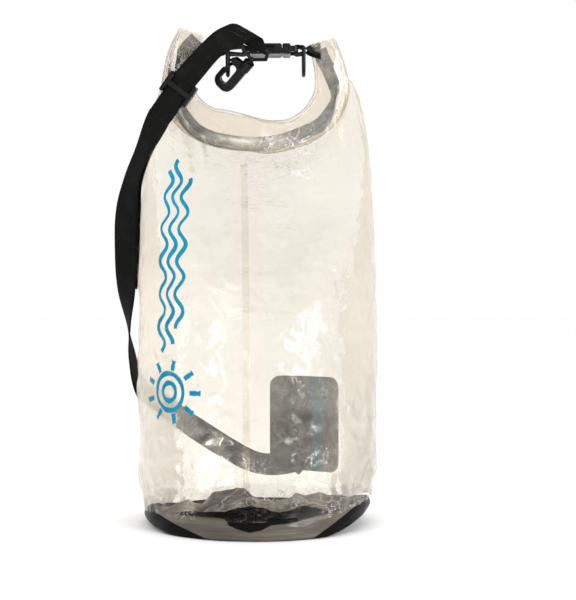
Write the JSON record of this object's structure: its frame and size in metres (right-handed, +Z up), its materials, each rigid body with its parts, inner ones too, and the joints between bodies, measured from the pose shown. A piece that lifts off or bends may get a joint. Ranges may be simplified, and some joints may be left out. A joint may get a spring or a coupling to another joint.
{
  "type": "dry bag",
  "caption": "Clear roll-top dry bag with a black round base, its rolled mouth buckled into a carrying loop and a webbing shoulder strap clipped on with swivel hooks.",
  "frame": {"origin": "centre of the base rim, on the ground", "axes": "+Z up along the bag, +X to the side of the free D-ring, +Y to the back, where the patch is"},
  "size_m": [0.2763, 0.2753, 0.5102],
  "materials": {
    "clear_film": "clear flexible vinyl sheet, glossy, slightly warm, finely creased",
    "rim_film": "clear vinyl welded over the black base flange, grey-brown, satin",
    "black_vinyl": "black coated vinyl sheet, satin, fine grain",
    "printed_vinyl": "dark vinyl sheet with an irregular teal stripe",
    "stiffener": "dark grey plastic strip",
    "webbing": "black ribbed polypropylene webbing",
    "black_plastic": "moulded black acetal, fine satin"
  },
  "bodies": {
    "root": {"body_tube": "clear_film", "base_disc": "black_vinyl", "rim_band": "rim_film", "roll_centre": "clear_film", "roll_left_arm": "clear_film", "stiffener_strip": "stiffener", "left_tab": "webbing", "buckle_female": "black_plastic", "shoulder_strap": "webbing", "upper_hook_eye": "black_plastic", "lower_hook_eye": "black_plastic", "back_patch": "printed_vinyl", "patch_loop": "webbing"},
    "right_arm": {"roll_right_arm": "clear_film", "stiffener_end": "stiffener", "right_tab": "webbing", "buckle_male": "black_plastic"},
    "prong_front": {"buckle_prong_front": "black_plastic"},
    "prong_back": {"buckle_prong_back": "black_plastic"},
    "right_dring": {"right_dring": "black_plastic"},
    "left_dring": {"left_dring": "black_plastic"},
    "upper_hook": {"upper_hook_body": "black_plastic"},
    "upper_gate": {"upper_hook_gate": "black_plastic"},
    "lower_hook": {"lower_hook_body": "black_plastic"},
    "lower_gate": {"lower_hook_gate": "black_plastic"},
    "patch_dring": {"patch_dring": "black_plastic"},
    "slider": {"strap_slider": "black_plastic"}
  },
  "joints": [
    {"name": "buckle_release", "type": "slide", "parent": "root", "child": "right_arm", "axis": [1, 0, 0], "range_m": [0, 0.026]},
    {"name": "prong_front_squeeze", "type": "hinge", "parent": "right_arm", "child": "prong_front", "pos_m": [0.0252, -0.01105, 0.499], "axis": [0, 0, 1], "range_deg": [-8, 0], "stiffness_Nm_per_rad": 0.05},
    {"name": "prong_back_squeeze", "type": "hinge", "parent": "right_arm", "child": "prong_back", "pos_m": [0.0252, 0.01105, 0.499], "axis": [0, 0, 1], "range_deg": [0, 8], "stiffness_Nm_per_rad": 0.05},
    {"name": "right_dring_swing", "type": "hinge", "parent": "right_arm", "child": "right_dring", "pos_m": [0.049, 0, 0.499], "axis": [0, 1, 0], "range_deg": [-10, 30]},
    {"name": "left_dring_swing", "type": "hinge", "parent": "root", "child": "left_dring", "pos_m": [-0.031, 0, 0.499], "axis": [0, 1, 0], "range_deg": [-2, 2]},
    {"name": "upper_hook_swivel", "type": "hinge", "parent": "root", "child": "upper_hook", "pos_m": [-0.00714, -0.01629, 0.48551], "axis": [-0.6017, 0.5014, -0.6217], "range_deg": [-3, 6]},
    {"name": "upper_gate_push", "type": "hinge", "parent": "upper_hook", "child": "upper_gate", "pos_m": [-0.02238, -0.01078, 0.48701], "axis": [-0.3487, -0.8652, -0.3603], "range_deg": [0, 15], "stiffness_Nm_per_rad": 0.02},
    {"name": "lower_hook_swivel", "type": "hinge", "parent": "root", "child": "lower_hook", "pos_m": [0.04501, 0.14025, 0.05583], "axis": [0.6013, -0.1403, 0.7866], "range_deg": [-6, 0]},
    {"name": "lower_gate_push", "type": "hinge", "parent": "lower_hook", "child": "lower_gate", "pos_m": [0.04743, 0.12752, 0.06569], "axis": [-0.7188, 0.3352, 0.6091], "range_deg": [0, 15], "stiffness_Nm_per_rad": 0.02},
    {"name": "patch_dring_swing", "type": "hinge", "parent": "root", "child": "patch_dring", "pos_m": [0.05566, 0.11936, 0.104], "axis": [0.9063, -0.4226, 0], "range_deg": [-2, 2]},
    {"name": "slider_travel", "type": "slide", "parent": "root", "child": "slider", "axis": [-0.5779, 0.1734, -0.7975], "range_m": [0, 0.024]}
  ],
  "couplings": [
    {"joint": "prong_back_squeeze", "follows": "prong_front_squeeze", "ratio": -1}
  ]
}
